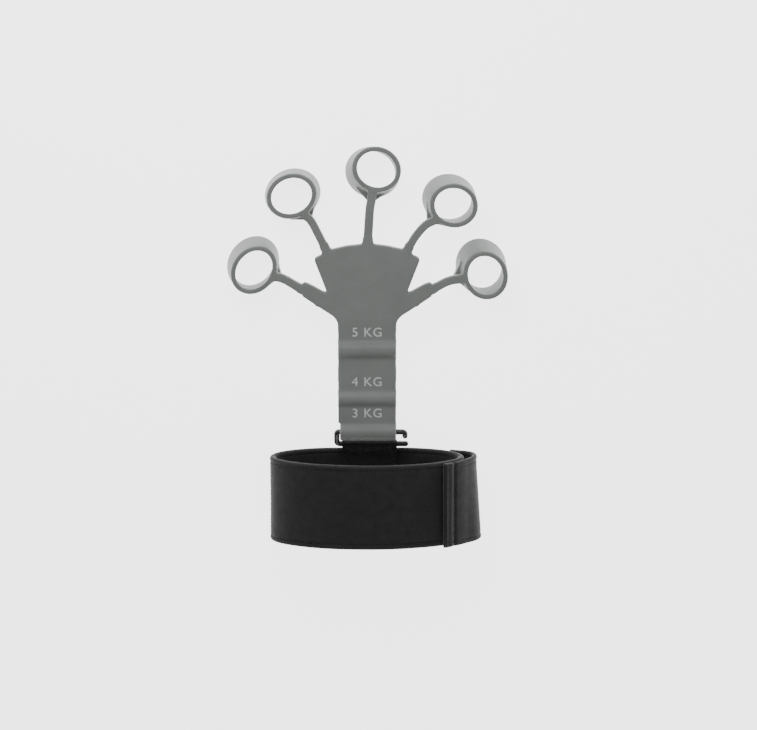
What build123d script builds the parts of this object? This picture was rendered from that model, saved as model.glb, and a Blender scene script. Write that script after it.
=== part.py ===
from build123d import *
import math
import os

# Finger exerciser, lying flat. Millimetres, +X right, +Y towards the fingers, +Z up.
# While it is being drawn, Y = 0 is the lower end of the tail and X = 0 its middle line.
# At the end everything is moved so that the origin is the middle of the underside of the box.

# ---- silicone hand ----
FRONT_Z = 13.0          # front face of the palm, the arms and the loop rims
THICK = 3.5             # thickness of the palm, the arms and the tail
MID_Z = FRONT_Z - THICK / 2
BACK_Z = FRONT_Z - THICK
GAP = 0.3               # clearance between pieces that move against each other
KNUCKLE = THICK / 2     # radius of the round end at a bending line

TAIL_HALF = 14.65       # half width of the tail
TAIL_HINGE_Y = 55.25    # bending line between the palm and the tail
TUBES = {               # name: (middle Y, outer radius, lower end Y, upper end Y of the piece)
    "tail_top": (47.15, 4.35, 34.15, TAIL_HINGE_Y),
    "tail_middle": (21.75, 3.75, 13.4, 33.85),
    "tail_end": (4.25, 4.25, 4.25, 13.1),
}
TUBE_BORE = 1.45        # radius of the cross hole in each tube
TUBE_RELIEF_X = 13.6    # the end tube is this short on the side where the wire turns down

# ---- finger loops ----
RIM_R = 12.5            # outer radius at the front rim
BACK_R = 13.9           # outer radius at the back rim
BORE_R = 10.1           # straight part of the finger hole
FLARE_R = 11.7          # finger hole at the back rim
FLARE_LENGTH = 5.0
FLARE_PAST = 6.0        # the flaring cut starts this far past the back rim
GUSSET_TOP = 11.3       # front of the thin webs beside each neck
GUSSET_BOTTOM = 3.0
GUSSET_START = 1.0      # from the turning line to the webs' point
GUSSET_R = 11.6         # the webs' outer sides touch a circle of this radius round the loop

# Each arm: stations (x, y, half width) from the bending line at the palm to the loop,
# where it is cut for stretching, where the loop turns, the middle of the front rim,
# and how far the middle of the back rim lies from it.
ARMS = {
    1: {
        "stations": [
            (-25.06, 74.13, 3.9),
            (-31.6, 78.1, 3.5),
            (-32.4, 77.9, 2.6),
            (-35.5, 79.6, 2.2),
            (-42.0, 83.3, 2.15),
            (-47.2, 84.4, 2.15),
        ],
        "stretch": (-36.2, 80.0),
        "turn": (-42.2, 83.35),
        "rim": (-56.4, 87.9),
        "back_shift": (-0.75, 1.2),
    },
    2: {
        "stations": [
            (-22.4, 102.1, 2.0),
            (-23.8, 104.9, 2.0),
            (-27.85, 112.7, 2.0),
            (-31.5, 116.0, 2.1),
        ],
        "stretch": (-24.9, 107.0),
        "turn": (-27.5, 112.0),
        "rim": (-37.85, 125.3),
        "back_shift": (0.75, -1.2),
    },
    3: {
        "stations": [
            (0.56, 105.65, 2.25),
            (1.35, 118.2, 2.2),
            (1.95, 122.0, 2.2),
            (2.95, 128.6, 2.3),
        ],
        "stretch": (1.0, 112.5),
        "turn": (1.65, 120.1),
        "rim": (5.2, 139.7),
        "back_shift": (-2.45, -4.0),
    },
    4: {
        "stations": [
            (22.3, 101.75, 2.0),
            (24.2, 104.9, 2.0),
            (28.95, 110.4, 2.0),
            (34.05, 113.2, 2.1),
            (37.0, 114.3, 2.1),
        ],
        "stretch": (25.9, 106.9),
        "turn": (29.5, 110.75),
        "rim": (43.8, 120.3),
        "back_shift": (-2.4, 0.4),
    },
    5: {
        "stations": [
            (25.06, 74.13, 3.9),
            (31.6, 78.1, 3.5),
            (32.4, 77.9, 2.6),
            (35.5, 79.5, 2.2),
            (41.2, 82.2, 2.15),
            (48.4, 83.4, 2.15),
        ],
        "stretch": (36.2, 79.9),
        "turn": (42.4, 82.4),
        "rim": (59.45, 84.9),
        "back_shift": (-2.3, 2.8),
    },
}

# ---- wire hook ----
WIRE_R = 1.4
WIRE_FIT = 0.05         # running clearance of the wire in a hole
BAR_Y = 4.25            # bar in the end tube
BAR_Z = MID_Z
LOW_BAR_Y = -3.5        # bar that holds the webbing
LOW_BAR_Z = 5.0
# Radii of the bends on the middle of the wire: the curl, then the two at the left
WIRE_BENDS = [1.6, 1.5, 1.9]
WIRE_LEFT_X = -15.3
WIRE_CURL_X = 19.0
WIRE_CURL_LENGTH = 3.4
WIRE_END_X = 19.4

# ---- wrist band ----
BAND_TOP_Y = -6.5
BAND_BOTTOM_Y = -50.0
BAND_HALF = 48.6        # half width of the oval
BAND_MID_Z = 17.0       # height of the widest place
BAND_DOME = 21.0        # from the widest place to the top
BAND_FLAT = 16.0        # half width of the flat on the table
NEOPRENE = 2.3
LINING = 0.4
TAB_LEFT_X = -12.6
TAB_RIGHT_X = 15.0
TAB_END_Y = -21.0
TAB_THICK = 1.5

# Outer strap end. Each station: angle round the oval, distance from it to the flap's middle.
LOOP_PATCH = 0.6
HOOK_PATCH = 0.6
FLAP_HALF = 1.1
FLAP_TIP_ANGLE = 38.0
FLAP_PATCH_ANGLE = 16.0
FLAP_ROOT_ANGLE = -40.0
FLAP_TIP_OFF = LOOP_PATCH + GAP + 0.05 + HOOK_PATCH + FLAP_HALF
FLAP_BULGE_OFF = 5.2
FLAP_ROOT_OFF = 1.5
HEM_ANGLE = 31.0
HEM_THICK = 0.5


def unit(x, y):
    """The direction (x, y) with length 1."""
    length = math.hypot(x, y)
    return x / length, y / length


def plate(points, low_z, high_z):
    """A flat piece with this outline between two heights."""
    outline = Face(Wire.make_polygon([(x, y, low_z) for x, y in points], close=True))
    return extrude(outline, amount=high_z - low_z, dir=(0, 0, 1))


def beyond(point, direction):
    """A large block that takes away everything past this point in this direction."""
    frame = Plane(
        origin=(point[0], point[1], 0),
        x_dir=(direction[0], direction[1], 0),
        z_dir=(0, 0, 1),
    )
    return frame * Pos(50, 0, 0) * Box(100, 100, 100)


def ahead(point, direction, distance):
    """The point this far along a direction."""
    return point[0] + direction[0] * distance, point[1] + direction[1] * distance


def arm_direction(stations, point):
    """The way the arm runs at a point, from the two stations round it."""
    best = None
    for a, b in zip(stations, stations[1:]):
        middle = ((a[0] + b[0]) / 2, (a[1] + b[1]) / 2)
        along = unit(b[0] - a[0], b[1] - a[1])
        length = math.hypot(b[0] - a[0], b[1] - a[1])
        reach = math.hypot(point[0] - middle[0], point[1] - middle[1]) - length / 2
        if length > 1.5 and (best is None or reach < best[0]):
            best = (reach, along)
    return best[1]


def strip(stations, low_z, high_z):
    """A bar whose width changes from station to station."""
    left = []
    right = []
    last = len(stations) - 1
    for index, (x, y, half) in enumerate(stations):
        before = stations[max(index - 1, 0)]
        after = stations[min(index + 1, last)]
        dx, dy = unit(after[0] - before[0], after[1] - before[1])
        left.append((x - dy * half, y + dx * half))
        right.append((x + dy * half, y - dx * half))
    return plate(left + right[::-1], low_z, high_z)


def round_end(point, direction, half, z):
    """The cylinder at a bending line, across the arm."""
    frame = Plane(origin=(point[0], point[1], z), z_dir=(-direction[1], direction[0], 0))
    return frame * Cylinder(KNUCKLE, 2 * half)


def arm_root(number):
    """Point, direction and half width at the bending line of an arm."""
    first, second = ARMS[number]["stations"][:2]
    return first[:2], unit(second[0] - first[0], second[1] - first[1]), first[2]


def loop_centres(number):
    """Middle of the back rim and of the front rim of a loop."""
    x, y = ARMS[number]["rim"]
    sx, sy = ARMS[number]["back_shift"]
    return (x + sx, y + sy, 0.0), (x, y, FRONT_Z)


def tangents(apex, middle, radius):
    """The triangle from a point to where its two tangents touch a circle."""
    x, y = middle[0] - apex[0], middle[1] - apex[1]
    distance = math.hypot(x, y)
    reach = math.sqrt(distance ** 2 - radius ** 2)
    half = math.asin(radius / distance)
    aim = math.atan2(y, x)
    left = ahead(apex, (math.cos(aim + half), math.sin(aim + half)), reach)
    right = ahead(apex, (math.cos(aim - half), math.sin(aim - half)), reach)
    return [apex, right, left]


def make_arm(number):
    """The two arm pieces and the finger loop with its neck."""
    arm = ARMS[number]
    stations = arm["stations"]
    stretch = arm["stretch"]
    turn = arm["turn"]
    stretch_dir = arm_direction(stations, stretch)
    turn_dir = arm_direction(stations, turn)
    root, root_dir, root_half = arm_root(number)

    bar = strip(stations, BACK_Z, FRONT_Z)
    inner = bar + round_end(root, root_dir, root_half, MID_Z)
    inner = inner - beyond(stretch, stretch_dir)

    back_dir = (-stretch_dir[0], -stretch_dir[1])
    outer = bar - beyond(ahead(stretch, stretch_dir, GAP), back_dir)
    outer = outer - beyond(turn, turn_dir)

    neck_dir = (-turn_dir[0], -turn_dir[1])
    neck = bar - beyond(ahead(turn, turn_dir, GAP), neck_dir)
    back, front = loop_centres(number)
    cone = loft([
        Pos(*back) * Circle(BACK_R),
        Pos(*front) * Circle(RIM_R),
    ])
    middle = ((front[0] + back[0]) / 2, (front[1] + back[1]) / 2)
    apex = ahead(turn, turn_dir, GUSSET_START)
    web = plate(tangents(apex, middle, GUSSET_R), GUSSET_BOTTOM, GUSSET_TOP)
    axis = Vector(*front) - Vector(*back)
    hole = Plane(origin=back, z_dir=axis) * Cylinder(BORE_R, 60)
    flare_frame = Plane(origin=Vector(*back) - axis.normalized() * FLARE_PAST, z_dir=axis)
    slope = (FLARE_R - BORE_R) / FLARE_LENGTH
    flare = flare_frame * Cone(
        FLARE_R + FLARE_PAST * slope,
        BORE_R,
        FLARE_LENGTH + FLARE_PAST,
        align=(Align.CENTER, Align.CENTER, Align.MIN),
    )
    loop = cone + neck + web - hole - flare
    return inner, outer, loop


def make_palm():
    """The palm web with the short roots of the five arms."""
    right = [
        (TAIL_HALF, TAIL_HINGE_Y + KNUCKLE + GAP),
        (TAIL_HALF, 59.8),
        (15.0, 61.3),
        (16.1, 63.2),
        (17.4, 64.4),
        (25.5, 69.75),
        (21.2, 76.25),
        (20.6, 76.2),
        (20.4, 76.9),
        (26.2, 92.8),
        (25.6, 94.2),
        (22.9, 95.4),
        (22.3, 96.5),
        (22.95, 98.97),
        (19.53, 101.04),
        (18.6, 99.4),
        (17.25, 98.5),
        (10.0, 100.15),
        (3.6, 100.95),
        (2.7, 101.6),
        (2.68, 103.46),
        (-1.81, 103.74),
        (-1.9, 101.8),
        (-2.9, 101.0),
        (-10.0, 100.15),
        (-17.6, 98.4),
        (-19.0, 99.6),
        (-19.74, 101.18),
        (-23.32, 99.42),
        (-22.5, 96.7),
        (-22.9, 95.4),
        (-25.6, 94.2),
        (-26.2, 92.8),
        (-20.4, 76.9),
        (-20.6, 76.2),
        (-21.2, 76.25),
        (-25.5, 69.75),
        (-17.4, 64.4),
        (-16.1, 63.2),
        (-15.0, 61.3),
        (-TAIL_HALF, 59.8),
        (-TAIL_HALF, TAIL_HINGE_Y + KNUCKLE + GAP),
    ]
    return plate(right, BACK_Z, FRONT_Z)


def make_tail(name):
    """One piece of the tail with its cross tube."""
    tube_y, tube_r, low_y, high_y = TUBES[name]
    middle = (low_y + high_y) / 2
    piece = Pos(0, middle, MID_Z) * Box(2 * TAIL_HALF, high_y - low_y, THICK)
    across = Plane(origin=(0, tube_y, MID_Z), z_dir=(1, 0, 0))
    piece = piece + across * Cylinder(tube_r, 2 * TAIL_HALF)
    if name == "tail_top":
        piece = piece + round_end((0, TAIL_HINGE_Y), (0, 1), TAIL_HALF, MID_Z)
    if name == "tail_end":
        relief = Box(10, 12, 30, align=(Align.MAX, Align.MAX, Align.CENTER))
        piece = piece - Pos(-TUBE_RELIEF_X, tube_y + tube_r + 0.6, MID_Z) * relief
    return piece - across * Cylinder(TUBE_BORE, 4 * TAIL_HALF)


def make_wire():
    """The wire hook: curled end, bar in the end tube, turn at the left, bar in the webbing."""
    across = Vector(1, 0, 0)
    down = Vector(0, LOW_BAR_Y - BAR_Y, LOW_BAR_Z - BAR_Z)
    reach = down.length
    start = Vector(0, BAR_Y, BAR_Z)
    frame = Plane(origin=start, x_dir=across, z_dir=across.cross(down))
    path = FilletPolyline(
        (WIRE_CURL_X, WIRE_CURL_LENGTH),
        (WIRE_CURL_X, 0),
        (WIRE_LEFT_X, 0),
        (WIRE_LEFT_X, reach),
        (WIRE_END_X, reach),
        radius=WIRE_BENDS,
    )
    line = frame * path
    section = Plane(origin=line @ 0, z_dir=line % 0) * Circle(WIRE_R)
    wire = sweep(section, path=line)
    return wire + Pos(*(line @ 0)) * Sphere(WIRE_R) + Pos(*(line @ 1)) * Sphere(WIRE_R)


def oval(inset):
    """Outline of the wrist band in the X-Z plane, moved inwards by a distance."""
    corner = BAND_HALF - BAND_FLAT - inset
    half = BAND_HALF - inset
    dome = BAND_DOME - inset
    keel = BAND_MID_Z - inset
    plane = Plane(origin=(0, BAND_TOP_Y, 0), x_dir=(1, 0, 0), z_dir=(0, -1, 0))
    with BuildSketch(plane) as sketch:
        with BuildLine():
            Line((-BAND_FLAT, inset), (BAND_FLAT, inset))
            EllipticalCenterArc((BAND_FLAT, BAND_MID_Z), corner, keel, -90, arc_size=90)
            EllipticalCenterArc((0, BAND_MID_Z), half, dome, 0, arc_size=180)
            EllipticalCenterArc((-BAND_FLAT, BAND_MID_Z), corner, keel, 180, arc_size=90)
        make_face()
    return sketch.sketch


def band_layer(outer_inset, inner_inset):
    """A closed layer of the band."""
    length = BAND_TOP_Y - BAND_BOTTOM_Y
    whole = extrude(oval(outer_inset), amount=length, dir=(0, -1, 0))
    return whole - extrude(oval(inner_inset), amount=length, dir=(0, -1, 0))


def oval_point(angle, outside):
    """A point this far outside the oval, at an angle round its right half."""
    turn = math.radians(angle)
    if angle >= 0:
        x = BAND_HALF * math.cos(turn)
        z = BAND_MID_Z + BAND_DOME * math.sin(turn)
        nx, nz = unit(math.cos(turn) / BAND_HALF, math.sin(turn) / BAND_DOME)
    else:
        corner = BAND_HALF - BAND_FLAT
        x = BAND_FLAT + corner * math.cos(turn)
        z = BAND_MID_Z + BAND_MID_Z * math.sin(turn)
        nx, nz = unit(math.cos(turn) / corner, math.sin(turn) / BAND_MID_Z)
    return x + nx * outside, z + nz * outside


def flap_off(angle):
    """How far the middle of the flap stands off the oval."""
    if angle >= FLAP_PATCH_ANGLE:
        return FLAP_TIP_OFF
    if angle >= -12:
        share = (FLAP_PATCH_ANGLE - angle) / (FLAP_PATCH_ANGLE + 12)
        low, high = FLAP_TIP_OFF, FLAP_BULGE_OFF
    else:
        share = (-12 - angle) / (-12 - FLAP_ROOT_ANGLE)
        low, high = FLAP_BULGE_OFF, FLAP_ROOT_OFF
    smooth = share * share * (3 - 2 * share)
    return low + (high - low) * smooth


def curved_layer(first, last, near, far, top_y, bottom_y):
    """A layer that follows the right of the oval, between two distances from it."""
    count = max(6, int(abs(last - first) / 4))
    angles = [first + (last - first) * i / count for i in range(count + 1)]
    inside = [oval_point(a, near(a)) for a in angles]
    outside = [oval_point(a, far(a)) for a in angles]
    plane = Plane(origin=(0, top_y, 0), x_dir=(1, 0, 0), z_dir=(0, -1, 0))
    with BuildSketch(plane) as sketch:
        with BuildLine():
            Spline(*inside)
            Line(inside[-1], outside[-1])
            Spline(*outside[::-1])
            Line(outside[0], inside[0])
        make_face()
    return extrude(sketch.sketch, amount=top_y - bottom_y, dir=(0, -1, 0))


def make_flap():
    """The strap end that closes the band, its hem, and both halves of the closure."""
    flap = curved_layer(
        FLAP_ROOT_ANGLE,
        FLAP_TIP_ANGLE,
        lambda a: flap_off(a) - FLAP_HALF,
        lambda a: flap_off(a) + FLAP_HALF,
        BAND_TOP_Y,
        BAND_BOTTOM_Y,
    )
    hem = curved_layer(
        HEM_ANGLE,
        FLAP_TIP_ANGLE,
        lambda a: flap_off(a) + FLAP_HALF,
        lambda a: flap_off(a) + FLAP_HALF + HEM_THICK,
        BAND_TOP_Y,
        BAND_BOTTOM_Y,
    )
    hooks = curved_layer(
        FLAP_PATCH_ANGLE + 4,
        FLAP_TIP_ANGLE - 1,
        lambda a: flap_off(a) - FLAP_HALF - HOOK_PATCH,
        lambda a: flap_off(a) - FLAP_HALF,
        BAND_TOP_Y - 3,
        BAND_BOTTOM_Y + 3,
    )
    loops = curved_layer(
        FLAP_PATCH_ANGLE,
        FLAP_TIP_ANGLE - 1,
        lambda a: 0.0,
        lambda a: LOOP_PATCH,
        BAND_TOP_Y - 3,
        BAND_BOTTOM_Y + 3,
    )
    shell = extrude(oval(0), amount=BAND_TOP_Y - BAND_BOTTOM_Y, dir=(0, -1, 0))
    return flap, hem, hooks, loops - shell


def make_tab():
    """The webbing folded round the lower bar and sewn to the inside of the band."""
    width = TAB_RIGHT_X - TAB_LEFT_X
    middle = (TAB_RIGHT_X + TAB_LEFT_X) / 2
    floor = NEOPRENE + LINING
    fold = Plane(origin=(middle, LOW_BAR_Y, LOW_BAR_Z), z_dir=(1, 0, 0))
    tab = fold * Cylinder(LOW_BAR_Z - floor, width)
    strap = Box(width, LOW_BAR_Y - TAB_END_Y, TAB_THICK, align=(Align.CENTER, Align.MAX, Align.MIN))
    tab = tab + Pos(middle, LOW_BAR_Y, floor) * strap
    return tab - fold * Cylinder(WIRE_R + WIRE_FIT, 2 * width)


def build():
    """Every piece by name, still in the drawing frame."""
    pieces = {"palm_web": make_palm()}
    for number in ARMS:
        inner, outer, loop = make_arm(number)
        pieces[f"arm_{number}_inner"] = inner
        pieces[f"arm_{number}_outer"] = outer
        pieces[f"finger_loop_{number}"] = loop
    for name in TUBES:
        pieces[name] = make_tail(name)
    pieces["wire_hook"] = make_wire()
    pieces["webbing_tab"] = make_tab()
    pieces["band_neoprene"] = band_layer(0, NEOPRENE)
    pieces["band_lining"] = band_layer(NEOPRENE, NEOPRENE + LINING)
    flap, hem, hooks, loops = make_flap()
    pieces["band_flap"] = flap
    pieces["flap_hem"] = hem
    pieces["hook_patch"] = hooks
    pieces["loop_patch"] = loops
    return pieces


def middle_of_underside(pieces):
    """The point of the drawing frame that becomes the origin."""
    boxes = [piece.bounding_box() for piece in pieces.values()]
    low_x = min(box.min.X for box in boxes)
    high_x = max(box.max.X for box in boxes)
    low_y = min(box.min.Y for box in boxes)
    high_y = max(box.max.Y for box in boxes)
    low_z = min(box.min.Z for box in boxes)
    return (low_x + high_x) / 2, (low_y + high_y) / 2, low_z


PIECES = build()
ORIGIN = middle_of_underside(PIECES)

os.makedirs("parts", exist_ok=True)
for name, piece in PIECES.items():
    moved = Pos(-ORIGIN[0], -ORIGIN[1], -ORIGIN[2]) * piece
    export_step(moved, f"parts/{name}.step")
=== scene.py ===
import math

import bmesh
import bpy
import numpy as np
import openvdb
from mathutils import Matrix, Vector


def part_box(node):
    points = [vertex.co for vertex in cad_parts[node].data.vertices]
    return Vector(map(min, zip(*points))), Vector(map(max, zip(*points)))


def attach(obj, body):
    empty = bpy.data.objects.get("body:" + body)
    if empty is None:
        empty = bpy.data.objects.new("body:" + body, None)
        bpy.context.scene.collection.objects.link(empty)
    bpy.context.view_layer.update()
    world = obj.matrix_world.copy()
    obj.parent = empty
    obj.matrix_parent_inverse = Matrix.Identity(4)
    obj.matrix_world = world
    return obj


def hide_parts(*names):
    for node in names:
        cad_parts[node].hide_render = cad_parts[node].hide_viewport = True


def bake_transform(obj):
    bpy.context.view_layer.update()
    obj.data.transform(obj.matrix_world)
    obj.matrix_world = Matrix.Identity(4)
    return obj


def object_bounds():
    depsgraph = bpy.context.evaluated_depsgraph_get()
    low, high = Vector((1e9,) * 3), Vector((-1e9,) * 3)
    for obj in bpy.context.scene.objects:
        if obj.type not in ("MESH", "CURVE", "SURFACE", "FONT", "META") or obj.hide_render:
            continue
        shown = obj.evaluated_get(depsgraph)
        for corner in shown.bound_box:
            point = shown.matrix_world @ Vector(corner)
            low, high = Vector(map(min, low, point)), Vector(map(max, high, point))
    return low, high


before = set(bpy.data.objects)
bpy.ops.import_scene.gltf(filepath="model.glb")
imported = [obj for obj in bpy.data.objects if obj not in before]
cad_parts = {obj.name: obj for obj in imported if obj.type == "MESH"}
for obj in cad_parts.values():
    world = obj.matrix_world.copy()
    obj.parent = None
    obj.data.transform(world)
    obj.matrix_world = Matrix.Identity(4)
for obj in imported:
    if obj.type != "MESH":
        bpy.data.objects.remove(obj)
cad_low, cad_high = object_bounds()

# Lengths here are millimetres in the drawing frame of the CAD: X = 0 is the middle line of the
# hand, Y = 0 the lower end of its tail, Z = 0 the table. The palm's box says where that frame lies.
DRAWN_PALM_MIDDLE_X = 0.0
DRAWN_PALM_TOP_Y = 103.74
palm_low, palm_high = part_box("palm_web")
SHIFT = np.array([
    (palm_low[0] + palm_high[0]) / 2 * 1000 - DRAWN_PALM_MIDDLE_X,
    palm_high[1] * 1000 - DRAWN_PALM_TOP_Y,
    cad_low[2] * 1000,
])

FRONT_Z = 13.0
THICK = 3.5
MID_Z = FRONT_Z - THICK / 2
BACK_Z = FRONT_Z - THICK
TAIL_HALF = 14.65
TAIL_MIDDLE_Y = 31.0
TAIL_REACH = 26.7       # half the length of the tail's plain strip
TUBE_BORE = 1.5
CELL = 0.36             # grid of the moulded shape


def row(x, y, z):
    """A drawing point in the row frame, in metres."""
    return tuple((np.array([x, y, z], float) + SHIFT) / 1000)


# ---------------------------------------------------------------- helpers

def unit(v):
    v = np.asarray(v, float)
    return v / np.linalg.norm(v)


def smooth_min(a, b, k):
    """The lower of two fields, with a fillet of about k where they meet."""
    h = np.clip(0.5 + 0.5 * (b - a) / k, 0, 1)
    return b + (a - b) * h - k * h * (1 - h)


def smooth_max(a, b, k):
    return -smooth_min(-a, -b, k)


def polygon_field(px, py, points):
    """Signed distance to a polygon, below zero inside."""
    points = np.asarray(points, float)
    best = np.full(np.broadcast(px, py).shape, 1e9)
    inside = np.zeros(best.shape, bool)
    for (ax, ay), (bx, by) in zip(points, np.roll(points, -1, axis=0)):
        ex, ey = bx - ax, by - ay
        t = np.clip(((px - ax) * ex + (py - ay) * ey) / (ex * ex + ey * ey + 1e-12), 0, 1)
        best = np.minimum(best, (px - ax - ex * t) ** 2 + (py - ay - ey * t) ** 2)
        if ay != by:
            crosses = ((ay <= py) & (by > py)) | ((by <= py) & (ay > py))
            inside ^= crosses & (px < ax + (py - ay) / ey * ex)
    return np.where(inside, -1, 1) * np.sqrt(best)


def smooth_line(points, step):
    """Points along a Catmull-Rom curve through rows of numbers."""
    points = np.asarray(points, float)
    ends = np.vstack([2 * points[0] - points[1], points, 2 * points[-1] - points[-2]])
    out = []
    for p0, p1, p2, p3 in zip(ends, ends[1:], ends[2:], ends[3:]):
        count = max(1, int(np.linalg.norm((p2 - p1)[:2]) / step))
        for t in np.arange(count) / count:
            out.append(0.5 * (2 * p1 + (p2 - p0) * t + (2 * p0 - 5 * p1 + 4 * p2 - p3) * t ** 2
                              + (3 * p1 - p0 - 3 * p2 + p3) * t ** 3))
    out.append(points[-1])
    return np.array(out)


def strip_outline(stations):
    """The outline of a bar through (x, y, half width) stations."""
    line = smooth_line(stations, 0.8)
    way = np.gradient(line[:, :2], axis=0)
    way /= np.linalg.norm(way, axis=1)[:, None]
    side = np.stack([-way[:, 1], way[:, 0]], 1) * line[:, 2:3]
    return np.vstack([line[:, :2] + side, (line[:, :2] - side)[::-1]])


def new_piece(name, points, faces, smooth=True):
    """A mesh object from drawing-frame millimetres."""
    mesh = bpy.data.meshes.new(name)
    mesh.from_pydata(((np.asarray(points, float) + SHIFT) / 1000).tolist(), [], faces)
    mesh.validate()
    mesh.update()
    mesh.polygons.foreach_set("use_smooth", [smooth] * len(mesh.polygons))
    piece = bpy.data.objects.new(name, mesh)
    bpy.context.scene.collection.objects.link(piece)
    return piece


def fix_normals(piece):
    """Turns every face of a closed mesh outwards."""
    work = bmesh.new()
    work.from_mesh(piece.data)
    bmesh.ops.recalc_face_normals(work, faces=work.faces)
    work.to_mesh(piece.data)
    work.free()


# ---------------------------------------------------------------- materials

def linear(value):
    """One 0-255 display value as linear light."""
    c = value / 255
    return c / 12.92 if c <= 0.04045 else ((c + 0.055) / 1.055) ** 2.4


def colour(r, g, b):
    return (linear(r), linear(g), linear(b), 1.0)


class Shader:
    """A Principled material with a few procedural layers."""

    def __init__(self, name, rough, specular=0.5):
        self.material = bpy.data.materials.new(name)
        self.material.use_nodes = True
        self.tree = self.material.node_tree
        self.main = self.tree.nodes["Principled BSDF"]
        self.main.inputs["Roughness"].default_value = rough
        self.main.inputs["Specular IOR Level"].default_value = specular
        self.place = self.tree.nodes.new("ShaderNodeTexCoord").outputs["Object"]
        self.bumps = None

    def node(self, kind, **values):
        made = self.tree.nodes.new(kind)
        for key, value in values.items():
            if key in made.inputs:
                made.inputs[key].default_value = value
            else:
                setattr(made, key, value)
        return made

    def link(self, source, target):
        self.tree.links.new(source, target)

    def noise(self, scale, detail=3.0, rough=0.55):
        made = self.node("ShaderNodeTexNoise", Scale=scale, Detail=detail, Roughness=rough)
        self.link(self.place, made.inputs["Vector"])
        return made.outputs["Fac"]

    def waves(self, scale, direction, distort=0.6):
        made = self.node("ShaderNodeTexWave", Scale=scale, Distortion=distort,
                         bands_direction=direction)
        made.inputs["Detail"].default_value = 1.0
        self.link(self.place, made.inputs["Vector"])
        return made.outputs["Fac"]

    def cells(self, scale):
        made = self.node("ShaderNodeTexVoronoi", Scale=scale)
        self.link(self.place, made.inputs["Vector"])
        return made.outputs["Distance"]

    def ramp(self, source, low, high, start=0.3, stop=0.7):
        made = self.node("ShaderNodeValToRGB")
        made.color_ramp.elements[0].position = start
        made.color_ramp.elements[1].position = stop
        made.color_ramp.elements[0].color = low
        made.color_ramp.elements[1].color = high
        self.link(source, made.inputs["Fac"])
        return made.outputs["Color"]

    def colour_from(self, source):
        self.link(source, self.main.inputs["Base Color"])

    def rough_from(self, source, low, high):
        made = self.node("ShaderNodeMapRange")
        made.inputs["To Min"].default_value = low
        made.inputs["To Max"].default_value = high
        self.link(source, made.inputs["Value"])
        self.link(made.outputs["Result"], self.main.inputs["Roughness"])

    def bump(self, source, strength, distance):
        made = self.node("ShaderNodeBump", Strength=strength, Distance=distance)
        self.link(source, made.inputs["Height"])
        if self.bumps is not None:
            self.link(self.bumps, made.inputs["Normal"])
        self.bumps = made.outputs["Normal"]
        self.link(self.bumps, self.main.inputs["Normal"])

    def multiply(self, a, b):
        made = self.node("ShaderNodeMath", operation="MULTIPLY")
        self.link(a, made.inputs[0])
        self.link(b, made.inputs[1])
        return made.outputs[0]


def silicone_material():
    s = Shader("grey_silicone", 0.5, 0.4)
    s.colour_from(s.ramp(s.noise(90, 4), colour(112, 116, 113), colour(118, 122, 119)))
    s.rough_from(s.noise(400, 3), 0.44, 0.6)
    s.bump(s.noise(5200, 2), 0.12, 0.0001)
    s.bump(s.noise(160, 3), 0.1, 0.0004)
    s.main.inputs["Subsurface Weight"].default_value = 0.06
    s.main.inputs["Subsurface Radius"].default_value = (0.003, 0.003, 0.003)
    s.main.inputs["Subsurface Scale"].default_value = 0.4
    s.main.inputs["Sheen Weight"].default_value = 0.12
    s.main.inputs["Sheen Roughness"].default_value = 0.5
    return s.material


def neoprene_material(name, dark, light, cell=1500):
    s = Shader(name, 0.8, 0.25)
    s.colour_from(s.ramp(s.noise(220, 5), dark, light, 0.25, 0.75))
    knit = s.multiply(s.waves(620, "X", 0.8), s.waves(620, "Y", 0.8))
    s.bump(knit, 0.35, 0.00012)
    s.bump(s.noise(cell, 4), 0.3, 0.00015)
    s.bump(s.noise(70, 3), 0.25, 0.0006)
    s.rough_from(s.noise(500, 3), 0.7, 0.92)
    s.main.inputs["Sheen Weight"].default_value = 0.25
    s.main.inputs["Sheen Roughness"].default_value = 0.4
    s.main.inputs["Sheen Tint"].default_value = (0.7, 0.7, 0.72, 1)
    return s.material


def fuzzy_material(name, scale):
    s = Shader(name, 0.95, 0.15)
    s.colour_from(s.ramp(s.noise(900, 5), colour(16, 16, 17), colour(38, 38, 40)))
    s.bump(s.cells(scale), 0.8, 0.0004)
    s.bump(s.noise(2600, 4), 0.5, 0.0003)
    s.main.inputs["Sheen Weight"].default_value = 0.3
    return s.material


def webbing_material():
    s = Shader("black_webbing", 0.7, 0.3)
    s.colour_from(s.ramp(s.noise(700, 4), colour(20, 20, 21), colour(38, 38, 40)))
    s.bump(s.multiply(s.waves(420, "X", 0.3), s.waves(300, "Y", 0.3)), 0.7, 0.00025)
    s.bump(s.noise(3000, 3), 0.3, 0.0001)
    return s.material


def thread_material():
    s = Shader("black_thread", 0.6, 0.35)
    s.colour_from(s.ramp(s.noise(2500, 3), colour(26, 26, 27), colour(52, 52, 54)))
    s.bump(s.waves(1500, "DIAGONAL", 0.2), 0.6, 0.0001)
    return s.material


def wire_material():
    s = Shader("black_coated_wire", 0.35, 0.5)
    s.colour_from(s.ramp(s.noise(350, 4), colour(17, 17, 18), colour(30, 30, 31)))
    s.rough_from(s.noise(600, 4), 0.26, 0.5)
    s.bump(s.noise(1800, 3), 0.15, 0.0001)
    s.main.inputs["Coat Weight"].default_value = 0.15
    return s.material


def print_material():
    s = Shader("pale_print", 0.6, 0.3)
    s.colour_from(s.ramp(s.noise(1500, 4), colour(176, 180, 178), colour(204, 207, 205)))
    s.bump(s.noise(3500, 2), 0.2, 0.0001)
    return s.material


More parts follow.
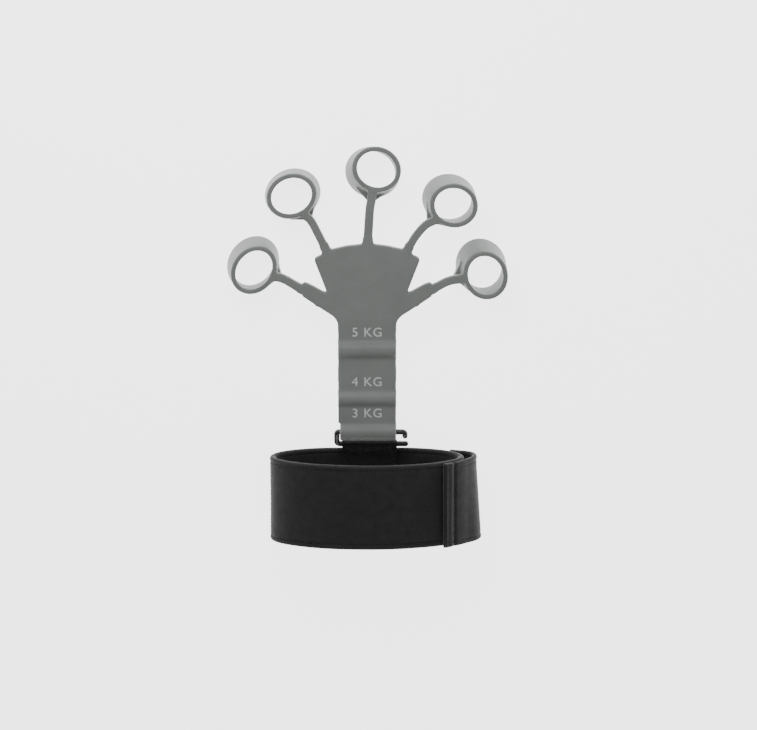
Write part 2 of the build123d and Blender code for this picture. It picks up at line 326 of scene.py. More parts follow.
SILICONE = silicone_material()
NEOPRENE = neoprene_material("black_neoprene", colour(31, 31, 32), colour(41, 41, 42))
WEBBING = webbing_material()
THREAD = thread_material()
WIRE = wire_material()
PRINT = print_material()


# ---------------------------------------------------------------- silicone moulding

PALM = [
    (14.65, 52), (14.65, 59.8), (15.0, 61.3), (16.0, 63.0), (17.4, 64.4), (25.5, 69.75),
    (21.2, 76.25), (20.5, 76.15), (20.35, 77.2), (26.2, 92.6), (25.9, 93.9), (24.6, 94.7),
    (22.9, 95.4), (22.3, 96.6), (22.95, 98.97), (19.53, 101.04), (18.5, 99.4), (17.25, 98.5),
    (10.0, 100.15), (3.6, 100.95), (2.7, 101.7), (2.68, 103.46), (-1.81, 103.74),
    (-1.9, 101.9), (-2.9, 100.95), (-10.0, 100.15), (-17.6, 98.4), (-18.9, 99.5),
    (-19.74, 101.18), (-23.32, 99.42), (-22.5, 96.8), (-22.9, 95.4), (-24.6, 94.7),
    (-25.9, 93.9), (-26.2, 92.6), (-20.35, 77.2), (-20.5, 76.15), (-21.2, 76.25),
    (-25.5, 69.75), (-17.4, 64.4), (-16.0, 63.0), (-15.0, 61.3), (-14.65, 59.8), (-14.65, 52),
]

# Each arm: where it bends at the palm, stations (x, y, half width), the places where it
# stretches and where its loop turns, then the front rim's middle, its two radii, the
# direction of the first one, and the shift of the back rim.
ARMS = {
    1: dict(
        root=(-25.06, 74.13), lead=(-22.9, 72.7, 4.0),
        stations=[(-25.06, 74.13, 3.9), (-31.4, 78.0, 3.5), (-32.6, 77.8, 2.6), (-35.5, 79.6, 2.2),
                  (-42.0, 83.3, 2.15), (-47.2, 84.5, 2.3)],
        stretch=(-36.2, 80.0), turn=(-42.2, 83.35), rim=(-56.3, 87.7),
        radii=(12.9, 10.7), slope=55, back=(-0.75, 1.2)),
    2: dict(
        root=(-22.4, 102.1), lead=(-20.9, 99.0, 2.1),
        stations=[(-22.4, 102.1, 2.0), (-23.8, 104.9, 2.0), (-27.85, 112.7, 2.0), (-31.5, 116.0, 2.2)],
        stretch=(-24.9, 107.0), turn=(-27.5, 112.0), rim=(-37.5, 125.6),
        radii=(12.6, 11.1), slope=26, back=(0.45, -1.5)),
    3: dict(
        root=(0.56, 105.65), lead=(0.35, 101.5, 2.4),
        stations=[(0.56, 105.65, 2.25), (1.35, 118.2, 2.2), (1.95, 122.0, 2.2), (2.95, 128.6, 2.3)],
        stretch=(1.0, 112.5), turn=(1.65, 120.1), rim=(4.9, 139.3),
        radii=(12.2, 11.3), slope=156, back=(-2.3, -4.4)),
    4: dict(
        root=(22.3, 101.75), lead=(20.6, 99.0, 2.1),
        stations=[(22.3, 101.75, 2.0), (24.2, 104.9, 2.0), (28.95, 110.4, 2.0), (34.05, 113.2, 2.1),
                  (37.0, 114.3, 2.2)],
        stretch=(25.9, 106.9), turn=(29.5, 110.75), rim=(43.3, 120.6),
        radii=(11.9, 11.1), slope=168, back=(-2.6, 1.1)),
    5: dict(
        root=(25.06, 74.13), lead=(22.9, 72.7, 4.0),
        stations=[(25.06, 74.13, 3.9), (31.4, 78.0, 3.5), (32.6, 77.8, 2.6), (35.5, 79.5, 2.2),
                  (41.2, 82.2, 2.15), (48.4, 83.4, 2.3)],
        stretch=(36.2, 79.9), turn=(42.4, 82.4), rim=(59.2, 84.9),
        radii=(12.3, 11.0), slope=105, back=(-2.4, 2.8)),
}
FRONT_R = 12.2          # usual outer radius of a front rim
BACK_R = 13.9           # outer radius of a back rim on such a loop
GUSSET_START = 0.2      # from the turning line to the point of the webs beside a neck
GUSSET_R = 12.2         # the webs' sides touch a circle of this radius inside the loop
GUSSET_BACK = 0.6       # how far from the front rim to the back rim that circle's middle lies
GUSSET_BOTTOM = 1.6
GUSSET_TOP = 8.4
WALL_FRONT = 2.4        # a loop's wall at its front rim
WALL_BACK = 2.5         # and at its back rim

TUBES = [(47.15, 4.35), (21.75, 3.75), (4.25, 4.25)]    # middle Y and radius of each cross tube
END_TUBE = TUBES[-1]
RELIEF_X = -13.6        # the end tube's left end is cut back to here, as room for the wire
RELIEF_Y = 9.1          # and up to here


class Grid:
    """A block of space that holds a signed distance."""

    def __init__(self, low, high, cell):
        self.low = np.array(low, float)
        self.cell = cell
        self.axes = [np.arange(lo, hi, cell) for lo, hi in zip(low, high)]
        self.field = np.full([len(a) for a in self.axes], 5.0, np.float32)

    def window(self, low, high):
        """Slices of the field inside a box, with broadcasting coordinates."""
        cut = []
        for axis, lo, hi in zip(self.axes, low, high):
            first = int(np.searchsorted(axis, lo))
            last = int(np.searchsorted(axis, hi))
            cut.append(slice(first, last))
        x, y, z = (axis[part] for axis, part in zip(self.axes, cut))
        return tuple(cut), x[:, None, None], y[None, :, None], z[None, None, :]

    def mesh(self):
        grid = openvdb.FloatGrid(5.0)
        grid.copyFromArray(self.field)
        points, quads = grid.convertToQuads(isovalue=0.0)
        return points * self.cell + self.low, quads


def round_slab(flat, z, low, high, edge=0.7):
    """A flat outline given thickness, with rounded edges."""
    middle, half = (low + high) / 2, (high - low) / 2
    return smooth_max(flat, np.abs(z - middle) - half, edge)


def arm_way(arm, point):
    """The way an arm runs at a point."""
    line = smooth_line(arm["stations"], 0.4)[:, :2]
    nearest = int(np.argmin(np.linalg.norm(line - point, axis=1)))
    nearest = min(max(nearest, 2), len(line) - 3)
    return unit(line[nearest + 2] - line[nearest - 2])


def loop_fields(arm, x, y, z):
    """Outside and inside of an oblique, slightly oval loop."""
    share = (FRONT_Z - z) / FRONT_Z
    cx = arm["rim"][0] + arm["back"][0] * share
    cy = arm["rim"][1] + arm["back"][1] * share
    turn = math.radians(arm["slope"])
    u = (x - cx) * math.cos(turn) + (y - cy) * math.sin(turn)
    v = -(x - cx) * math.sin(turn) + (y - cy) * math.cos(turn)
    ru = arm["radii"][0] + (BACK_R - FRONT_R) * share
    rv = arm["radii"][1] + (BACK_R - FRONT_R) * share
    wall = WALL_FRONT + (WALL_BACK - WALL_FRONT) * share

    def oval(a, b):
        reach = np.sqrt((u / a) ** 2 + (v / b) ** 2)
        return (reach - 1) * (a + b) / 2

    return oval(ru, rv), oval(ru - wall, rv - wall)


def tangents(apex, middle, radius):
    """The triangle from a point to where its two tangents touch a circle."""
    reach = middle - apex
    distance = np.linalg.norm(reach)
    length = math.sqrt(distance ** 2 - radius ** 2)
    half = math.asin(radius / distance)
    aim = math.atan2(reach[1], reach[0])
    left = apex + length * np.array([math.cos(aim + half), math.sin(aim + half)])
    right = apex + length * np.array([math.cos(aim - half), math.sin(aim - half)])
    return [apex, right, left]


def silicone_field():
    """The whole moulding as one field."""
    grid = Grid((-73, -3, -1.2), (77, 155, 17.5), CELL)
    x2 = grid.axes[0][:, None]
    y2 = grid.axes[1][None, :]
    flat = polygon_field(x2, y2, PALM)
    flat = np.minimum(flat, np.maximum(np.abs(x2) - TAIL_HALF, np.abs(y2 - TAIL_MIDDLE_Y) - TAIL_REACH))
    for arm in ARMS.values():
        outline = strip_outline([arm["lead"]] + arm["stations"])
        flat = smooth_min(flat, polygon_field(x2, y2, outline), 1.3)
    z3 = grid.axes[2][None, None, :]
    grid.field[:] = round_slab(flat[:, :, None], z3, BACK_Z, FRONT_Z)

    for arm in ARMS.values():
        cx, cy = arm["rim"]
        cut, x, y, z = grid.window((cx - 20, cy - 20, -2), (cx + 20, cy + 20, 18))
        local = grid.field[cut]
        outside, inside = loop_fields(arm, x, y, z)
        solid = smooth_max(outside, np.abs(z - FRONT_Z / 2) - FRONT_Z / 2, 0.8)
        way = arm_way(arm, arm["turn"])
        apex = np.array(arm["turn"]) + way * GUSSET_START
        middle = np.array(arm["rim"]) + np.array(arm["back"]) * GUSSET_BACK
        web = polygon_field(x[:, :, 0], y[:, :, 0], tangents(apex, middle, GUSSET_R))
        gusset = round_slab(web[:, :, None], z, GUSSET_BOTTOM, GUSSET_TOP, 0.8)
        local = smooth_min(local, gusset, 0.7)
        local = smooth_min(local, solid, 1.3)
        local = smooth_max(local, -inside, 0.7)
        grid.field[cut] = smooth_max(local, np.maximum(z - FRONT_Z, -z), 0.5)

    for tube_y, radius in TUBES:
        cut, x, y, z = grid.window((-17, tube_y - 9, 0), (17, tube_y + 9, 18))
        reach = np.sqrt((y - tube_y) ** 2 + (z - MID_Z) ** 2)
        tube = smooth_max(reach - radius, np.abs(x) - TAIL_HALF, 0.5)
        local = smooth_min(grid.field[cut], tube, 1.5)
        if (tube_y, radius) == END_TUBE:
            relief = np.maximum(x - RELIEF_X, y - RELIEF_Y)
            local = smooth_max(local, -relief, 0.6)
        local = smooth_max(local, np.abs(x) - TAIL_HALF, 0.5)
        grid.field[cut] = smooth_max(local, TUBE_BORE - reach, 0.4)
    return grid


# Cuts between the pieces of the moulding. A cut only reaches the faces this near to its point.
TAIL_CUTS = [58.6, 39.6, 27.4]          # drawing Y
TAIL_CUT_REACH = 18.0
ARM_CUT_REACH = [6.2, 5.5, 4.5]
ROOT_CUT_BACK = 2.3     # from an arm's bending line to the cut before it


def arm_cuts(arm):
    """Where an arm is cut: before its bending line, and halfway to each next joint."""
    root = np.array(arm["root"])
    stretch = np.array(arm["stretch"])
    turn = np.array(arm["turn"])
    way = unit(np.array(arm["stations"][1][:2]) - root)
    first = root - way * ROOT_CUT_BACK
    middle_a = root * 0.45 + stretch * 0.55
    middle_b = (stretch + turn) / 2
    ways = [way, arm_way(arm, middle_a), arm_way(arm, middle_b)]
    return list(zip([first, middle_a, middle_b], ways, ARM_CUT_REACH))


def cut_moulding(work):
    """Cuts the mesh across the tail and the arms. Returns the cut edges."""
    cuts = [(np.array([0, y]), np.array([0.0, 1.0]), TAIL_CUT_REACH) for y in TAIL_CUTS]
    for arm in ARMS.values():
        cuts += arm_cuts(arm)
    seams = set()
    for point, way, radius in cuts:
        at = Vector(row(point[0], point[1], MID_Z))
        near = [
            f for f in work.faces
            if (f.calc_center_median().xy - at.xy).length < radius / 1000
            and abs((f.calc_center_median() - at).dot(Vector((way[0], way[1], 0)))) < 0.003
        ]
        geometry = set(near)
        for f in near:
            geometry.update(f.edges)
            geometry.update(f.verts)
        done = bmesh.ops.bisect_plane(
            work, geom=list(geometry), plane_co=at, plane_no=(way[0], way[1], 0), dist=2e-6)
        seams.update(e for e in done["geom_cut"] if isinstance(e, bmesh.types.BMEdge))
    return seams


def split_moulding(points, quads):
    """The moulding as separate closed pieces, each a list of points and faces."""
    work = bmesh.new()
    whole = bpy.data.meshes.new("whole")
    whole.from_pydata(((points + SHIFT) / 1000).tolist(), [], quads[:, ::-1].tolist())
    work.from_mesh(whole)
    bpy.data.meshes.remove(whole)
    bmesh.ops.recalc_face_normals(work, faces=work.faces)
    for _ in range(2):
        bmesh.ops.smooth_vert(work, verts=work.verts, factor=0.35,
                              use_axis_x=True, use_axis_y=True, use_axis_z=True)
    seams = cut_moulding(work)
    work.faces.index_update()
    unseen = set(work.faces)
    groups = []
    while unseen:
        start = unseen.pop()
        group = [start]
        queue = [start]
        while queue:
            for edge in queue.pop().edges:
                if edge in seams:
                    continue
                for other in edge.link_faces:
                    if other in unseen:
                        unseen.remove(other)
                        group.append(other)
                        queue.append(other)
        groups.append(group)
    shells = []
    for group in groups:
        verts = list({v for f in group for v in f.verts})
        number = {v: i for i, v in enumerate(verts)}
        coords = np.array([v.co for v in verts])
        faces = [[number[v] for v in f.verts] for f in group]
        shells.append((coords, faces))
    work.free()
    return shells


def closed_shell(name, coords, faces):
    """A piece of the moulding with its cut ends closed."""
    mesh = bpy.data.meshes.new(name)
    mesh.from_pydata(coords.tolist(), [], faces)
    work = bmesh.new()
    work.from_mesh(mesh)
    for face in work.faces:
        face.smooth = True
    rim = [e for e in work.edges if e.is_boundary]
    for edge in rim:
        edge.smooth = False
    if rim:
        made = bmesh.ops.holes_fill(work, edges=rim, sides=0)
        for face in made["faces"]:
            face.smooth = False
        bmesh.ops.triangulate(work, faces=made["faces"])
    bmesh.ops.recalc_face_normals(work, faces=work.faces)
    work.to_mesh(mesh)
    work.free()
    piece = bpy.data.objects.new(name, mesh)
    bpy.context.scene.collection.objects.link(piece)
    piece.data.materials.append(SILICONE)
    return piece


def shell_plan():
    """Each piece: name, a point inside, its bodies, where its bend starts and stops, its nodes."""
    plan = [
        ("silicone_palm", (0, 85), ("palm",), None, ["palm_web"]),
        ("silicone_tail_top", (0, 52.5), ("palm", "tail_top"),
         ((0, 57.2, MID_Z), (0, 53.3, MID_Z)), ["tail_top"]),
        ("silicone_tail_stretch", (0, 33), ("tail_top", "tail_middle"),
         ((0, 39.2, MID_Z), (0, 27.8, MID_Z)), []),
        ("silicone_tail_end", (0, 13), ("tail_middle", "tail_end"),
         ((0, 17.2, MID_Z), (0, 9.4, MID_Z)), ["tail_middle", "tail_end"]),
    ]
    for number, arm in ARMS.items():
        (first, way, _), (middle_a, way_a, _), (middle_b, way_b, _) = arm_cuts(arm)
        root = np.array(arm["root"])
        turn = np.array(arm["turn"])
        turn_way = arm_way(arm, turn)
        inner, outer, loop = f"arm_{number}_inner", f"arm_{number}_outer", f"loop_{number}"
        root_bend = ((*(root - way * 1.8), MID_Z), (*(root + way * 1.8), MID_Z))
        stretched = ((*(middle_a + way_a * 0.3), MID_Z), (*(middle_b - way_b * 0.3), MID_Z))
        loop_bend = ((*(turn - turn_way * 1.5), MID_Z), (*(turn + turn_way * 1.0), MID_Z))
        plan += [
            (f"silicone_arm_{number}_root", root, ("palm", inner), root_bend, [inner]),
            (f"silicone_arm_{number}_stretch", arm["stretch"], (inner, outer), stretched, [outer]),
            (f"silicone_loop_{number}", turn, (outer, loop), loop_bend, [f"finger_{loop}"]),
        ]
    return plan


def make_silicone():
    """Builds the moulding and cuts it. A piece with one body is attached to that body; a piece between two
    bodies only has its transform baked in.
    """
    points, quads = silicone_field().mesh()
    shells = split_moulding(points, quads)
    free = list(range(len(shells)))
    for name, inside, bodies, bend, nodes in shell_plan():
        at = np.array(row(inside[0], inside[1], FRONT_Z))
        best = min(free, key=lambda i: np.linalg.norm(shells[i][0] - at, axis=1).min())
        free.remove(best)
        piece = closed_shell(name, *shells[best])
        if len(bodies) == 1:
            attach(piece, bodies[0])
        else:
            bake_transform(piece)
        if nodes:
            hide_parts(*nodes)
    print("moulding pieces", len(shells), "left over", len(free))


MARK_SIZE = 6.5


def make_print():
    """Generic resistance marks above the three tubes, printed on the front face."""
    marks = [("5 KG", 55.9), ("4 KG", 30.4), ("3 KG", 14.2)]
    shells = {name: (bodies, bend) for name, _, bodies, bend, _ in shell_plan()}
    for index, (words, y) in enumerate(marks):
        curve = bpy.data.curves.new(f"mark_{index + 1}", "FONT")
        curve.body = words
        curve.size = MARK_SIZE / 1000
        curve.align_x = "CENTER"
        curve.align_y = "CENTER"
        curve.space_character = 1.12
        curve.extrude = 0.00003
        curve.offset = 0.00004
        text = bpy.data.objects.new(f"mark_{index + 1}", curve)
        bpy.context.scene.collection.objects.link(text)
        text.location = row(0, y, FRONT_Z + 0.02)
        text.data.materials.append(PRINT)
        bpy.context.view_layer.update()
        mesh = bpy.data.meshes.new_from_object(text.evaluated_get(bpy.context.evaluated_depsgraph_get()))
        mesh.transform(text.matrix_world)
        piece = bpy.data.objects.new(f"printed_mark_{index + 1}", mesh)
        bpy.context.scene.collection.objects.link(piece)
        bpy.data.objects.remove(text)
        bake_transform(piece)


# ---------------------------------------------------------------- wrist band

BAND_TOP_Y = -6.5
BAND_BOTTOM_Y = -50.0
BAND_HALF = 48.6
BAND_MID_Z = 17.0
BAND_DOME = 21.0
BAND_FLAT = 16.0
BAND_WALL = 2.7
LIP = 1.5               # radius of the rolled rims
GROOVE_AT = 2.7         # the sewn groove's distance from a rim


def oval_point(angle, outside=0.0):
    """A point outside the band's oval, at an angle round its right half."""
    turn = math.radians(angle)
    if angle >= 0:
        at = np.array([BAND_HALF * math.cos(turn), BAND_MID_Z + BAND_DOME * math.sin(turn)])
        out = unit([math.cos(turn) / BAND_HALF, math.sin(turn) / BAND_DOME])
    else:
        corner = BAND_HALF - BAND_FLAT
        at = np.array([BAND_FLAT + corner * math.cos(turn), BAND_MID_Z * (1 + math.sin(turn))])
        out = unit([math.cos(turn) / corner, math.sin(turn) / BAND_MID_Z])
    return at + out * outside


def closed_oval(count):
    """Evenly spaced points round the band's outside, and the outward directions."""
    right = [oval_point(a) for a in np.linspace(90, 0, 300)]
    right += [oval_point(a) for a in np.linspace(-0.3, -90, 200)]
    right = np.array(right)
    loop = np.vstack([right, right[::-1] * [-1, 1]])
    step = np.linalg.norm(np.diff(np.vstack([loop, loop[:1]]), axis=0), axis=1)
    length = np.concatenate([[0], np.cumsum(step)])
    wrapped = np.vstack([loop, loop[:1]])
    where = np.linspace(0, length[-1], count, endpoint=False)
    points = np.stack([np.interp(where, length, wrapped[:, i]) for i in range(2)], 1)
    way = np.roll(points, -1, axis=0) - np.roll(points, 1, axis=0)
    way /= np.linalg.norm(way, axis=1)[:, None]
    out = np.stack([-way[:, 1], way[:, 0]], 1)
    if (out[0] * (points[0] - [0, BAND_MID_Z])).sum() < 0:
        out = -out
    return points, out, where


def edge_steps():
    """Distances from a rim at which the wall's section has a point."""
    near = [0, 0.12, 0.4, 0.8, 1.2, 1.6, 1.95, 2.2, 2.45, 2.7, 2.95, 3.2, 3.5, 4.0, 5.0]
    return np.array(near)


def wall_section(half, lip=LIP, groove=0.35):
    """The section of a strap: (distance down from the top rim, offset from its middle)."""
    height = BAND_TOP_Y - BAND_BOTTOM_Y
    near = edge_steps()
    middle = np.linspace(near[-1], height - near[-1], 17)[1:-1]
    down = np.concatenate([near, middle, (height - near)[::-1]])
    edge = np.minimum(down, height - down)
    rolled = np.sqrt(np.clip(1 - (1 - np.clip(edge / lip, 0, 1)) ** 2, 0, 1)) * (half + 0.12)
    flat = np.where(edge < lip, rolled, half + 0.12 * np.exp(-((edge - lip) / 0.7) ** 2))
    flat = flat - groove * np.exp(-((edge - GROOVE_AT) / 0.42) ** 2)
    outer = list(zip(down, flat))
    inner = list(zip(down, -flat))
    return np.array(outer[:-1] + inner[::-1][:-1])


def sweep(name, points, out, where, section, middle, closed, extra=None, ends=None):
    """A strap of this section along a path in the X-Z plane."""
    count, width = len(points), len(section)
    down = section[:, 0][None, :]
    offset = section[:, 1][None, :] * np.ones((count, 1))
    if ends is not None:
        offset = offset * ends[:, None]
    if extra is not None:
        offset = offset + extra(where[:, None], down, section[:, 1][None, :])
    base = np.asarray(middle)[:, None] if np.ndim(middle) else middle
    offset = offset + base
    x = points[:, 0][:, None] + out[:, 0][:, None] * offset
    z = points[:, 1][:, None] + out[:, 1][:, None] * offset
    y = BAND_TOP_Y - down * np.ones((count, 1))
    coords = np.stack([x, y, z], 2).reshape(-1, 3)
    faces = []
    for i in range(count if closed else count - 1):
        j = (i + 1) % count
        for k in range(width):
            m = (k + 1) % width
            faces.append([i * width + k, i * width + m, j * width + m, j * width + k])
    if not closed:
        faces.append(list(range(width)))
        faces.append([(count - 1) * width + k for k in range(width)][::-1])
    piece = new_piece(name, coords, faces)
    fix_normals(piece)
    return piece


def make_band():
    """The closed neoprene wall with its rolled, sewn rims."""
    points, out, where = closed_oval(420)
    length = where[-1] + where[1]

    def uneven(along, down, side):
        turn = along / length
        slow = np.sin(turn * 2 * math.pi * 3 + down * 0.05)
        quick = np.sin(turn * 2 * math.pi * 7 + down * 0.11 + 1)
        return 0.10 * (slow + quick)

    piece = sweep("band_wall", points, out, where, wall_section(BAND_WALL / 2), -BAND_WALL / 2, True, uneven)
    piece.data.materials.append(NEOPRENE)
    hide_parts("band_neoprene", "band_lining")
    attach(piece, "band")
    return points, out, where


FLAP_TIP_ANGLE = 40.5
FLAP_PATCH_ANGLE = 16.0
FLAP_ROOT_ANGLE = -40.0
FLAP_TIP_OFF = 2.65
FLAP_BULGE_OFF = 6.0
FLAP_ROOT_OFF = 1.5
FLAP_HALF = 1.1
HEM_WIDTH = 4.4
SEAM_PAST_HEM = 1.6     # from the hem's edge to the row of stitches in the dip beside it


def flap_off(angle):
    """How far the middle of the flap stands off the oval, as in the CAD."""
    if angle >= FLAP_PATCH_ANGLE:
        return FLAP_TIP_OFF
    if angle >= -12:
        share = (FLAP_PATCH_ANGLE - angle) / (FLAP_PATCH_ANGLE + 12)
        low, high = FLAP_TIP_OFF, FLAP_BULGE_OFF
    else:
        share = (-12 - angle) / (-12 - FLAP_ROOT_ANGLE)
        low, high = FLAP_BULGE_OFF, FLAP_ROOT_OFF
    return low + (high - low) * share * share * (3 - 2 * share)


def flap_path(count):
    """Evenly spaced points along the flap's middle, root first."""
    angles = np.linspace(FLAP_ROOT_ANGLE, FLAP_TIP_ANGLE, 400)
    line = np.array([oval_point(a, flap_off(a)) for a in angles])
    length = np.concatenate([[0], np.cumsum(np.linalg.norm(np.diff(line, axis=0), axis=1))])
    tight = 1 - (1 - np.linspace(0, 1, count)) ** 1.6
    where = tight * length[-1]
    points = np.stack([np.interp(where, length, line[:, i]) for i in range(2)], 1)
    way = np.gradient(points, axis=0)
    way /= np.linalg.norm(way, axis=1)[:, None]
    out = np.stack([way[:, 1], -way[:, 0]], 1)
    return points, out, where, length[-1]


def make_flap():
    """The strap end over the closure, with a raised hem at its free edge."""
    points, out, where, length = flap_path(150)
    from_tip = length - where
    ends = np.sqrt(np.clip(1 - (1 - np.clip(from_tip / 1.1, 0.02, 1)) ** 2, 0.03, 1))
    ends *= np.sqrt(np.clip(1 - (1 - np.clip(where / 0.9, 0.05, 1)) ** 2, 0.03, 1))

    def hem(along, down, side):
        tip = length - along
        raised = 0.4 / (1 + np.exp((tip - HEM_WIDTH) / 0.22)) * np.clip(tip / 0.6, 0, 1)
        ridge = 0.35 * np.exp(-((tip - 1.1) / 0.6) ** 2)
        dip = -0.55 * np.exp(-((tip - HEM_WIDTH - SEAM_PAST_HEM) / 0.8) ** 2)
        bottom = np.clip((down - 6) / 36, 0, 1) * np.exp(-((along - length * 0.42) / 9) ** 2) * 2.4
        return (raised + ridge + dip) * (side > 0) + bottom

    section = wall_section(FLAP_HALF, 1.25, 0.28)
    piece = sweep("band_flap_cover", points, out, where, section, 0.0, False, hem, ends)
    piece.data.materials.append(NEOPRENE)
    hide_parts("band_flap", "flap_hem")
    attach(piece, "flap")
    return points, out, where, length


def thread_run(name, starts, ends, normals, radius, body):
    """A row of stitches, each a short arched thread."""
    rings, sides = 7, 6
    coords = []
    faces = []
    for a, b, n in zip(starts, ends, normals):
        a, b, n = np.asarray(a), np.asarray(b), unit(n)
        way = unit(b - a)
        side = np.cross(way, n)
        base = len(coords)
        for i in range(rings):
            t = i / (rings - 1)
            middle = a + (b - a) * t + n * (math.sin(t * math.pi) * radius * 1.1 - radius * 0.5)
            thick = radius * (0.45 + 0.55 * math.sin(math.pi * min(max(t, 0.08), 0.92)))
            for k in range(sides):
                turn = 2 * math.pi * k / sides
                coords.append(middle + side * math.cos(turn) * thick + n * math.sin(turn) * thick)
        for i in range(rings - 1):
            for k in range(sides):
                m = (k + 1) % sides
                faces.append([base + i * sides + k, base + i * sides + m,
                              base + (i + 1) * sides + m, base + (i + 1) * sides + k])
        faces.append([base + k for k in range(sides)][::-1])
        faces.append([base + (rings - 1) * sides + k for k in range(sides)])
    piece = new_piece(name, coords, faces)
    fix_normals(piece)
    piece.data.materials.append(THREAD)
    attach(piece, body)
    return piece


def make_stitches(oval, flap):
    """Sewn rows in the grooves of the band and of the flap."""
    points, out, where = oval
    count = len(points)
    starts, ends, normals = [], [], []
    for y in (BAND_TOP_Y - GROOVE_AT, BAND_BOTTOM_Y + GROOVE_AT):
        for i in range(0, count - 3, 4):
            p, q = points[i], points[i + 3]
            a = p - out[i] * 0.25
            b = q - out[i + 3] * 0.25
            starts.append((a[0], y, a[1]))
            ends.append((b[0], y, b[1]))
            normals.append((out[i][0], 0, out[i][1]))
    thread_run("band_stitches", starts, ends, normals, 0.2, "band")

    points, out, where, length = flap
    seam = int(np.argmin(np.abs(length - where - HEM_WIDTH - SEAM_PAST_HEM)))
    at = points[seam] + out[seam] * (FLAP_HALF - 0.4)
    starts, ends, normals = [], [], []
    for top in np.arange(BAND_TOP_Y - 3.4, BAND_BOTTOM_Y + 5, -3.0):
        starts.append((at[0], top, at[1]))
        ends.append((at[0], top - 2.2, at[1]))
        normals.append((out[seam][0], 0, out[seam][1]))
    thread_run("flap_stitches", starts, ends, normals, 0.22, "flap")


LOW_BAR_Y = -3.5
LOW_BAR_Z = 5.0
FOLD_R = 1.78           # middle of the webbing round the bar
TAB_HALF = 0.36         # half the webbing's thickness
TAB_LEFT = -12.6
TAB_RIGHT = 15.0


def make_tab():
    """Webbing folded round the lower bar and sewn to the inside of the band."""
    bar_y, bar_z = LOW_BAR_Y, LOW_BAR_Z
    fold, half = FOLD_R, TAB_HALF
    low = BAND_WALL + half + 0.05
    under = [(y, low) for y in np.linspace(-21, -8, 18)]
    bottom = [(y, low + (bar_z - fold - low) * ((y + 8) / 4.5) ** 2) for y in np.linspace(-7.4, -4.2, 6)]
    bend = [(bar_y + fold * math.cos(t), bar_z + fold * math.sin(t))
            for t in np.linspace(math.radians(-95), math.radians(112), 26)]
    back = [(-5.4, 6.2), (-6.3, 5.4), (-7.3, 4.6), (-8.6, 4.05), (-10, low + 2 * half + 0.03)]
    over = [(y, low + 2 * half + 0.03) for y in np.linspace(-11.5, -20.2, 14)]
    line = np.array(under + bottom + bend + back + over)
    way = np.gradient(line, axis=0)
    way /= np.linalg.norm(way, axis=1)[:, None]
    out = np.stack([way[:, 1], -way[:, 0]], 1)
    left, right = TAB_LEFT, TAB_RIGHT
    across = np.concatenate([[0, 0.06, 0.2, 0.45], np.linspace(0.9, 26.7, 30), [27.15, 27.4, 27.54, 27.6]])
    edge = np.minimum(across, right - left - across)
    thick = half * np.sqrt(np.clip(1 - (1 - np.clip(edge / 0.5, 0, 1)) ** 2, 0, 1))
    section = [(a, t) for a, t in zip(across, thick)][:-1]
    section += [(a, -t) for a, t in zip(across, thick)][::-1][:-1]
    section = np.array(section)
    width = len(section)
    coords = []
    for (y, z), (oy, oz) in zip(line, out):
        for a, t in section:
            coords.append((left + a, y + oy * t, z + oz * t))
    faces = []
    for i in range(len(line) - 1):
        for k in range(width):
            m = (k + 1) % width
            faces.append([i * width + k, i * width + m, (i + 1) * width + m, (i + 1) * width + k])
    faces.append(list(range(width)))
    faces.append([(len(line) - 1) * width + k for k in range(width)][::-1])
    piece = new_piece("webbing_fold", coords, faces)
    fix_normals(piece)
    piece.data.materials.append(WEBBING)
    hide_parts("webbing_tab")
    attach(piece, "band")
    starts, ends = [], []
    top = low + 3 * half + 0.1
    for y in (-10.6, -19.4):
        for x in np.arange(left + 1.6, right - 3, 2.6):
            starts.append((x, y, top))
            ends.append((x + 1.9, y, top))
    for x in (left + 1.5, right - 1.5):
        for y in np.arange(-11, -18, -2.6):
            starts.append((x, y, top))
            ends.append((x, y - 1.9, top))
    thread_run("webbing_stitches", starts, ends, [(0, 0, 1)] * len(starts), 0.2, "band")


make_silicone()
make_print()
band_oval = make_band()
flap_line = make_flap()
make_stitches(band_oval, flap_line)
make_tab()
for node, material in (
    ("wire_hook", WIRE),
    ("loop_patch", fuzzy_material("loop_fuzz", 2400)),
    ("hook_patch", fuzzy_material("hook_tape", 1400)),
):
    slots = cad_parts[node].material_slots
    for place in slots:
        place.link = "OBJECT"
        place.material = material


# ---------------------------------------------------------------- floor, light, camera

TILT = math.radians(14)
DISTANCE = 2600.0
AIM = (5.7, 39.28, FRONT_Z)
VIEW_WIDTH = 378.5      # millimetres across the picture at the palm
FLOOR_HALF = 3.0        # metres
FLOOR_GLOW = 3.0        # the floor is lit to near white on its own, as in a product photograph


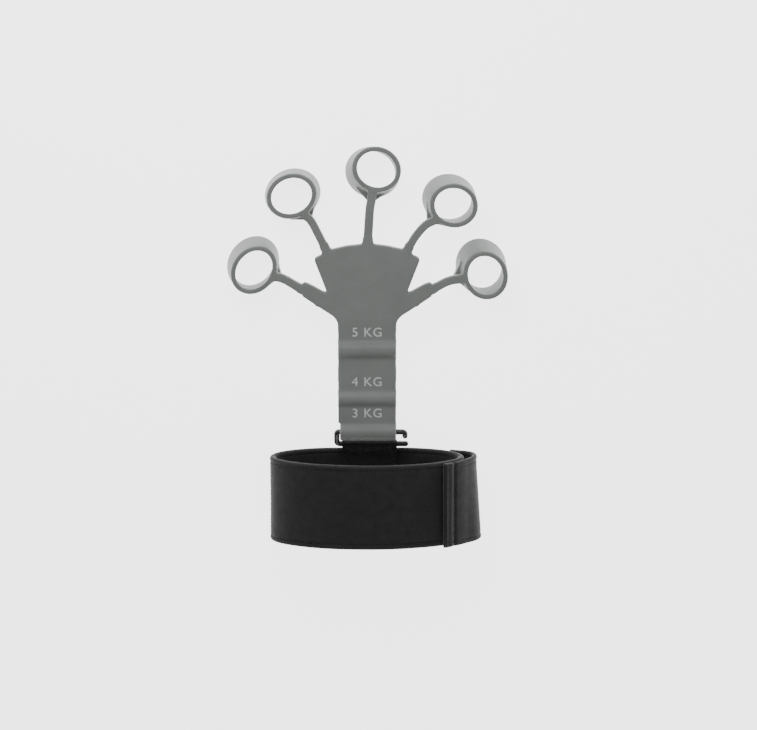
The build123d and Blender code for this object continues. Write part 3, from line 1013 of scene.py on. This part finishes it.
def make_floor():
    mesh = bpy.data.meshes.new("floor")
    z = cad_low[2] - 0.0004
    corners = [(-1, -1), (1, -1), (1, 1), (-1, 1)]
    mesh.from_pydata([(FLOOR_HALF * x, FLOOR_HALF * y, z) for x, y in corners], [], [[0, 1, 2, 3]])
    floor = bpy.data.objects.new("floor", mesh)
    bpy.context.scene.collection.objects.link(floor)
    s = Shader("white_floor", 0.9, 0.1)
    s.colour_from(s.ramp(s.noise(6, 2), (0.93, 0.93, 0.93, 1), (0.95, 0.95, 0.95, 1)))
    s.main.inputs["Emission Color"].default_value = (1, 1, 1, 1)
    s.main.inputs["Emission Strength"].default_value = FLOOR_GLOW
    floor.data.materials.append(s.material)


def area_light(name, at, power, size, aim=(0, 40, 10)):
    light = bpy.data.lights.new(name, "AREA")
    light.energy = power
    light.size = size
    lamp = bpy.data.objects.new(name, light)
    bpy.context.scene.collection.objects.link(lamp)
    place = Vector(row(*at))
    lamp.location = place
    lamp.rotation_euler = (Vector(row(*aim)) - place).to_track_quat("-Z", "Y").to_euler()


def make_studio():
    world = bpy.data.worlds.new("studio")
    world.use_nodes = True
    world.node_tree.nodes["Background"].inputs["Color"].default_value = (1, 1, 1, 1)
    world.node_tree.nodes["Background"].inputs["Strength"].default_value = 0.42
    bpy.context.scene.world = world
    area_light("key", (-100, 420, 330), 1.35, 0.3)
    area_light("fill", (500, -300, 900), 2, 1.0)


def make_camera():
    camera = bpy.data.objects.new("camera", bpy.data.cameras.new("camera"))
    bpy.context.scene.collection.objects.link(camera)
    camera.data.sensor_width = 36
    camera.data.sensor_fit = "HORIZONTAL"
    camera.data.lens = 36 * DISTANCE / VIEW_WIDTH
    camera.data.clip_start = 0.01
    back = Vector((0, math.sin(TILT), math.cos(TILT)))
    up = Vector((0, math.cos(TILT), -math.sin(TILT)))
    right = up.cross(back)
    turn = Matrix((right, up, back)).transposed().to_4x4()
    camera.matrix_world = Matrix.Translation(Vector(row(*AIM)) + back * DISTANCE / 1000) @ turn
    bpy.context.scene.camera = camera


make_floor()
make_studio()
make_camera()
